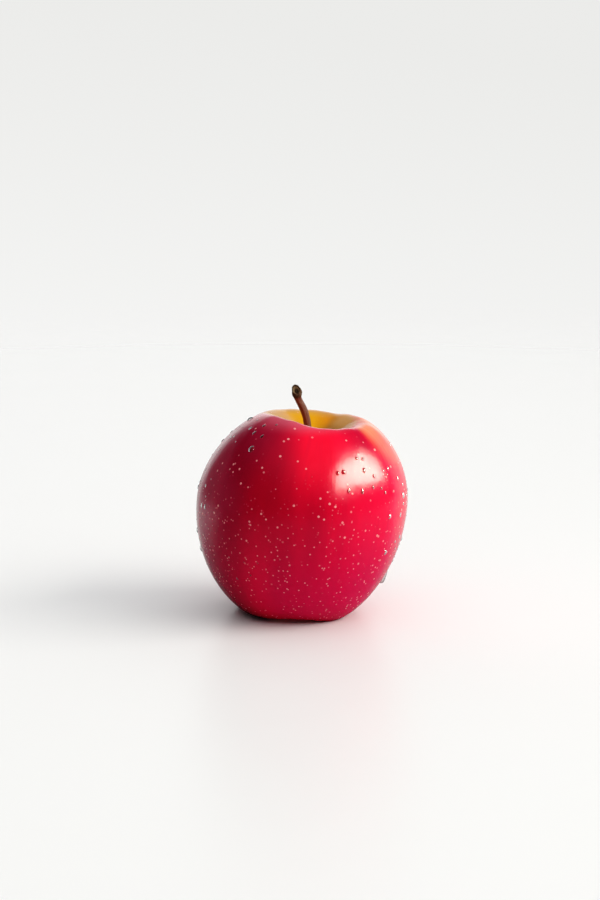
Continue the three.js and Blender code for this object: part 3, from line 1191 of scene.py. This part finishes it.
@dataclass
class Dew:
    """The beads of water on the skin."""

    shape: FruitShape
    sink: float = 0.06
    film: float = 0.02
    rings: int = 9
    sides: int = 28
    patches: Shell = field(default_factory=Shell)

    # Turn, share of the height, width and length of the beads that have a solid.
    LARGE = (
        (352, 0.2, 3.1, 6.2),
        (188, 0.97, 2.9, 2.9),
        (228, 0.865, 2.5, 2.5),
        (172, 0.89, 2.2, 2.3),
        (178, 0.85, 1.9, 2.0),
        (181, 0.625, 2.0, 2.2),
        (188, 0.425, 2.1, 2.3),
        (182, 0.32, 2.4, 2.8),
        (340, 0.675, 2.2, 2.4),
        (324, 0.59, 1.8, 1.9),
        (356, 0.41, 2.2, 2.5),
        (326, 0.395, 1.8, 2.0),
    )
    SHOWERS = (
        Shower(5, 323, 8, 0.62, 0.86, 0.8, 1.2),
        Shower(26, 348, 14, 0.28, 0.80, 0.7, 1.5),
        Shower(16, 190, 16, 0.25, 0.85, 0.6, 1.4),
        Shower(12, 205, 30, 0.86, 0.985, 0.8, 1.6),
        Shower(8, 240, 16, 0.25, 0.4, 0.5, 1.0),
        Shower(60, 85, 95, 0.15, 0.96, 0.5, 1.7),
        Shower(14, 275, 40, 0.2, 0.8, 0.3, 0.55),
    )

    # The same of the small beads on the lit shoulder, which have no solid.
    SHOULDER = (
        (287, 0.82, 1.3, 1.9),
        (291, 0.825, 1.7, 2.2),
        (306, 0.83, 1.6, 2.2),
        (313, 0.80, 1.4, 1.6),
        (294, 0.74, 1.3, 2.1),
        (303, 0.735, 1.4, 2.3),
        (311, 0.75, 1.3, 1.8),
        (302, 0.885, 1.4, 1.4),
        (307, 0.88, 1.2, 1.5),
    )

    def _add(self, bead: Bead, rng: np.random.Generator, water: Shell) -> None:
        """Adds a bead to a shell of water, and the skin that it wets to the patches.

        Args:
            bead: The bead.
            rng: Where its irregular outline comes from.
            water: The shell that its surface goes to, from its top over its edge to its underside.
        """
        angles = np.linspace(0.0, 2 * math.pi, self.sides, endpoint=False)
        wobble = 1.0 + 0.05 * np.cos(2 * angles + rng.uniform(0, 6))
        wobble = wobble + 0.035 * np.cos(3 * angles + rng.uniform(0, 6))
        contact = 2 * math.atan(2 * bead.rise)
        climb = np.linspace(0.0, 1.0, self.rings + 1) ** 0.9
        reach = np.sin(contact * climb) / math.sin(contact)
        height = (np.cos(contact * climb) - math.cos(contact)) / math.sin(contact) * bead.width / 2
        reach = np.append(reach, 0.0)
        height = np.append(height, 0.0)
        across = reach[:, None] * (bead.width / 2 * wobble * np.cos(angles))[None, :]
        uphill = reach[:, None] * (bead.length / 2 * wobble * np.sin(angles))[None, :]
        lift = height[:, None] + 0 * across
        foot = smooth(-uphill / (bead.length / 2), -1.0, 1.0)
        across = across * (1 + bead.pear * (foot - 0.62))
        lift = lift * (1 + bead.pear * 1.3 * (foot - 0.45))
        uphill = uphill - (bead.length / bead.width - 1) * 0.5 * lift
        around = self.shape.grown(np.array(bead.level), np.array(bead.turn))
        hub = self.shape.grown(np.array(bead.level), np.array(bead.turn + math.pi))
        radius = max(np.linalg.norm((around - hub)[:2]) / 2, 5.0)
        out, _, _ = self.shape.directions(np.array(bead.level), np.array(bead.turn))
        level = bead.level + uphill / self.shape.pitch(bead.level)
        turn = bead.turn + across / radius
        water.add(self.shape.skin(level, turn) + out * (lift - self.sink)[..., None])

        shrink = np.array([0.0, 0.5, 0.96, 1.0, 0.5, 0.0])[:, None]
        stand = np.array([1.0, 1.0, 1.0, -1.0, -1.0, -1.0])[:, None] * self.film
        level = bead.level + (level[-2] - bead.level)[None, :] * shrink
        turn = bead.turn + (turn[-2] - bead.turn)[None, :] * shrink
        points = self.shape.skin(level, turn) + out * (stand + 0 * level)[..., None]
        self.patches.add(points, np.stack((np.cos(turn), np.sin(turn), level), axis=-1))

    def _large(self, finish: bpy.types.Material) -> None:
        """Makes the beads that have a solid, one object each.

        Args:
            finish: Their material.
        """
        for number, (turn, up, width, length) in enumerate(self.LARGE, start=1):
            pear = 0.75 if length > 1.5 * width else 0.0
            rise = 0.32 if pear else 0.25
            bead = Bead(math.radians(turn), self.shape.level_at(up), width, length, rise, pear)
            shell = Shell()
            self._add(bead, np.random.default_rng(100 + number), shell)
            drop = shell.build(f"bead_{number:02d}", Slot.WATER, finish)
            # Clear water this thin throws no shadow that shows on the skin.
            drop.visible_shadow = False
            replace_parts(drop, f"water_drop_{number:02d}")

    def _small(self, finish: bpy.types.Material) -> None:
        """Makes the small beads on the lit shoulder, and scatters the rest clear of each other.

        Args:
            finish: Their material.
        """
        rng = np.random.default_rng(23)
        taken = [
            (self.shape.grown(np.array(self.shape.level_at(up)), np.array(math.radians(turn))), length)
            for turn, up, _, length in self.LARGE
        ]
        shell = Shell()
        for turn, up, width, length in self.SHOULDER:
            bead = Bead(math.radians(turn), self.shape.level_at(up), width, length, 0.2)
            taken.append((self.shape.grown(np.array(bead.level), np.array(bead.turn)), length))
            self._add(bead, rng, shell)
        for shower in self.SHOWERS:
            made = 0
            for _ in range(shower.count * 12):
                if made == shower.count:
                    break
                turn = math.radians(shower.turn + shower.spread * rng.uniform(-1.0, 1.0))
                level = self.shape.level_at(rng.uniform(shower.low, shower.high))
                width = shower.small + (shower.large - shower.small) * rng.uniform() ** 1.8
                length = width * rng.uniform(1.0, 1.6)
                centre = self.shape.grown(np.array(level), np.array(turn))
                if any(np.linalg.norm(centre - at) < 0.65 * (length + size) + 0.3 for at, size in taken):
                    continue
                taken.append((centre, length))
                self._add(Bead(turn, level, width, length, rng.uniform(0.17, 0.27)), rng, shell)
                made += 1
        shell.build("small_beads", Slot.WATER, finish)

    def build(self) -> None:
        """Makes all the beads, and the wetted skin under them."""
        finish = WaterFinish().material()
        self._large(finish)
        self._small(finish)
        self.patches.build("wetted_skin", Slot.SKIN, SkinFinish().wet_material(), "skin_place")


# ------------------------------------------------------------------ the studio


def bearing(around: float, up: float) -> Array:
    """A direction from two angles in degrees: round from -Y towards +X, and up."""
    turn, rise = math.radians(around), math.radians(up)
    return np.array([math.sin(turn) * math.cos(rise), -math.cos(turn) * math.cos(rise), math.sin(rise)])


@dataclass
class Studio:
    """A pale table before a bright backdrop, lit by one large soft panel, and the camera."""

    table_radius: float = 1.1
    table_grey: float = 0.85
    gloss_front: float = 0.14
    gloss_back: float = 0.75
    panel_distance: float = 3.0
    panel_light: float = 7.4
    panel_gloss: float = 19.5
    panel_tint: Colour = rgb(1.0, 0.97, 0.91)
    shine_tint: Colour = rgb(1.0, 0.97, 0.82)
    backdrop: float = 1.25
    elevation: float = 12.5
    distance: float = 0.76
    pivot_height: float = 0.4915
    look_up: float = 0.0588
    look_left: float = 0.0004
    lens: float = 85.0
    sensor: float = 36.0

    # The panel is a window with a sloping sill. Its sides, head and sill are bearings in degrees.
    WINDOW_LEFT = 40.0
    WINDOW_RIGHT = 102.0
    WINDOW_HEAD = 41.0
    SILL_LEFT = 23.0
    SILL_RIGHT = 13.0

    # The fruit's lit shoulder, which the bearings are taken from.
    SHOULDER = (0.020, -0.028, 0.055)

    def _staged(self, name: str, points: Array, faces: list[tuple[int, ...]]) -> bpy.types.Object:
        """A mesh of the studio's own.

        Args:
            name: Its name.
            points: Its points, in metres.
            faces: Its faces, as places in the points.

        Returns:
            The object.
        """
        mesh = bpy.data.meshes.new(name)
        mesh.from_pydata(points.tolist(), [], faces)
        mesh.update()
        made = bpy.data.objects.new(name, mesh)
        bpy.context.scene.collection.objects.link(made)
        return made

    def table(self) -> None:
        """Lays the table: faded into the backdrop, clear from below, open under the basin."""
        turns = np.linspace(0.0, 2 * math.pi, 96, endpoint=False)
        points = np.stack((np.cos(turns), np.sin(turns), 0 * turns), axis=-1) * self.table_radius
        table = self._staged("table", points, [tuple(range(96))])
        material, graph = new_material("pale_table")
        here = graph.position()
        reach = here.away((0.0, 0.0, 0.0))
        grain = graph.noise(here, 60.0, 3.0)
        light, front, back = self.table_grey, self.gloss_front, self.gloss_back
        worn = rgb(light * 1.02, light * 1.03, light * 1.03)
        pale = graph.mix(grain * 0.3, rgb(light * 0.99, light, light), worn)
        # Painted shade: the table is darkened a little towards its far right.
        far = here.part("X").rise(-0.10, 0.35) * here.part("Y").rise(-0.05, 0.30)
        pale = graph.mix(far * 0.07, pale, rgb(0.0, 0.0, 0.0))
        mirrored = graph.node("ShaderNodeLightPath", {}, {}, "Is Glossy Ray")
        below = graph.node("ShaderNodeNewGeometry", {}, {}, "Backfacing")
        seen = graph.node("ShaderNodeLightPath", {}, {}, "Is Camera Ray")
        open_foot = reach.rise(0.010, 0.014).at_least(seen)
        # Painted reflection: in gloss the table shows dark in front of the fruit and pale behind it,
        # instead of its even white.
        dim = graph.mix(here.part("Y").rise(-0.06, 0.10), rgb(front, front, front), rgb(back, back, back))
        edge = reach.rise(self.table_radius * 0.85, self.table_radius * 0.22)
        graph.surface({
            "Base Color": graph.mix(mirrored, pale, dim),
            "Roughness": (0.36 + (grain - 0.5) * 0.06).at_least(mirrored),
            "Specular IOR Level": 0.25,
            "Alpha": edge * (1.0 - below) * open_foot,
        })
        table.data.materials.append(material)

    def _sky(self, graph: Graph, way: Flow) -> tuple[Flow, Flow]:
        """How bright the room is in each direction.

        Args:
            graph: The world's graph. It is not used.
            way: The direction.

        Returns:
            The brightness that gloss mirrors, and the one that gives the soft light.
        """
        up = way.part("Z")
        behind = way.facing((0.225, 0.974, 0.0))
        under = up.rise(0.0, -0.25)
        side = way.facing(tuple(bearing(-112, 3))).rise(0.55, 0.95) * up.rise(0.5, 0.15)
        mirrored = self.backdrop * behind.rise(0.52, 0.86) * up.rise(0.62, 0.2) + 0.15 * up.rise(0.45, 0.95)
        mirrored = mirrored + side * 0.30 + 0.05
        mirrored = mirrored * (1.0 - under) + under * (behind.rise(0.25, 0.62) * 0.6 + 0.04)
        front = way.facing(tuple(bearing(38, 42))).rise(0.2, 0.95)
        soft = 0.95 * behind.rise(0.25, 0.62) * up.rise(0.85, 0.45) + 0.62 * up.rise(0.35, 0.85)
        soft = soft + front * 0.45 + 0.05
        return mirrored, soft * (1.0 - under) + under * 0.3

    def backdrop_light(self) -> None:
        """Lights the room: bright behind the fruit, dark on the camera's side."""
        scene = bpy.context.scene
        scene.world = bpy.data.worlds.new("studio")
        scene.world.use_nodes = True
        graph = Graph(scene.world.node_tree)
        way = graph.node("ShaderNodeTexCoord", {}, {}, "Generated")
        mirrored, soft = self._sky(graph, way)
        glossy = graph.node("ShaderNodeLightPath", {}, {}, "Is Glossy Ray")
        level = mirrored * glossy + soft * (1.0 - glossy)
        inputs = {0: (1.0, 1.0, 1.0), "Scale": level}
        light = graph.node("ShaderNodeVectorMath", {"operation": "SCALE"}, inputs)
        # Painted shade: the backdrop that the camera sees is darker towards the top and towards +X.
        height = way.part("Z").rise(-0.24, 0.06) + way.part("X") * 0.5 + 0.08
        seen = graph.ramp(height, ((0.0, rgb(0.94, 0.94, 0.93)), (1.0, rgb(0.835, 0.835, 0.82))))
        camera = graph.node("ShaderNodeLightPath", {}, {}, "Is Camera Ray")
        inputs = {"Color": graph.mix(camera, light, seen)}
        shader = graph.node("ShaderNodeBackground", {}, inputs, "Background")
        graph.node("ShaderNodeOutputWorld", {}, {"Surface": shader}, None)

    def _panel(self, name: str, strength: float, tint: Colour) -> bpy.types.Object:
        """Hangs a soft panel, a little dimmer at its far end.

        Args:
            name: Its name.
            strength: How brightly it glows.
            tint: Its colour.

        Returns:
            The panel.
        """
        outline = (
            (self.WINDOW_LEFT, self.WINDOW_HEAD),
            (self.WINDOW_LEFT, self.SILL_LEFT),
            (self.WINDOW_RIGHT, self.SILL_RIGHT),
            (self.WINDOW_RIGHT, self.WINDOW_HEAD),
        )
        middle = bearing(*np.mean(outline, axis=0))
        ways = [bearing(*corner) for corner in outline]
        corners = np.array([way * self.panel_distance / float(way @ middle) for way in ways])
        centre = middle * self.panel_distance
        points = np.vstack((corners, centre)) + np.array(self.SHOULDER)
        count = len(corners)
        faces = [(i, (i + 1) % count, count) for i in range(count)]
        panel = self._staged(name, points, faces)
        material, graph = new_material(f"{name}_glow")
        side = unit(np.cross(np.array([0.0, 0.0, 1.0]), middle))
        across = graph.position().facing(tuple(side))
        start = float(side @ centre)
        dim_end, bright_end = start - 0.62 * self.panel_distance, start + 0.05 * self.panel_distance
        glow = across.rise(dim_end, bright_end) * 0.5 + 0.5
        inputs = {"Color": graph.mix(glow, rgb(0, 0, 0), tint), "Strength": strength}
        shader = graph.node("ShaderNodeEmission", {}, inputs, "Emission")
        graph.node("ShaderNodeOutputMaterial", {}, {"Surface": shader}, None)
        panel.data.materials.append(material)
        panel.visible_camera = False
        return panel

    def panels(self) -> None:
        """Hangs the panel twice: once for its soft light and once for its shine on gloss."""
        light = self._panel("soft_panel", self.panel_light, self.panel_tint)
        light.visible_glossy = False
        light.visible_transmission = False
        light.visible_shadow = False
        shine = self._panel("panel_shine", self.panel_gloss, self.shine_tint)
        shine.visible_diffuse = False
        shine.visible_shadow = False
        shine.visible_transmission = False

    def camera(self) -> None:
        """Sets the camera in front of the fruit, a little above it."""
        data = bpy.data.cameras.new("camera")
        data.lens = self.lens
        data.sensor_width = self.sensor
        camera = bpy.data.objects.new("camera", data)
        bpy.context.scene.collection.objects.link(camera)
        rise = math.radians(self.elevation)
        pivot = Vector((0.0, 0.0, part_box("fruit")[1].z * self.pivot_height))
        camera.location = pivot + self.distance * Vector((0.0, -math.cos(rise), math.sin(rise)))
        aim = Vector((-self.look_left, 0.0, self.look_up))
        camera.rotation_euler = (aim - camera.location).to_track_quat("-Z", "Y").to_euler()
        bpy.context.scene.camera = camera

    def develop(self) -> None:
        """Sets the film: true colours, with the deepest shades let down a little."""
        view = bpy.context.scene.view_settings
        view.view_transform = "Standard"
        view.use_curve_mapping = True
        curve = view.curve_mapping.curves[3]
        curve.points.new(0.035, 0.012)
        curve.points.new(0.16, 0.145)
        curve.points.new(0.5, 0.5)
        view.curve_mapping.update()

    def build(self) -> None:
        """Sets up the whole studio."""
        self.camera()
        self.table()
        self.backdrop_light()
        self.panels()
        self.develop()
        log.info("studio: camera, table, backdrop and panels")


def main() -> None:
    """Builds the apple piece by piece."""
    logging.basicConfig(level=logging.INFO, format="%(name)s: %(message)s")
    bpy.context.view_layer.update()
    Studio().build()
    shape = FruitShape()
    Fruit(shape).build()
    Stem(shape).build()
    Calyx(shape).build()
    Dew(shape).build()


if __name__ == "__main__":
    main()
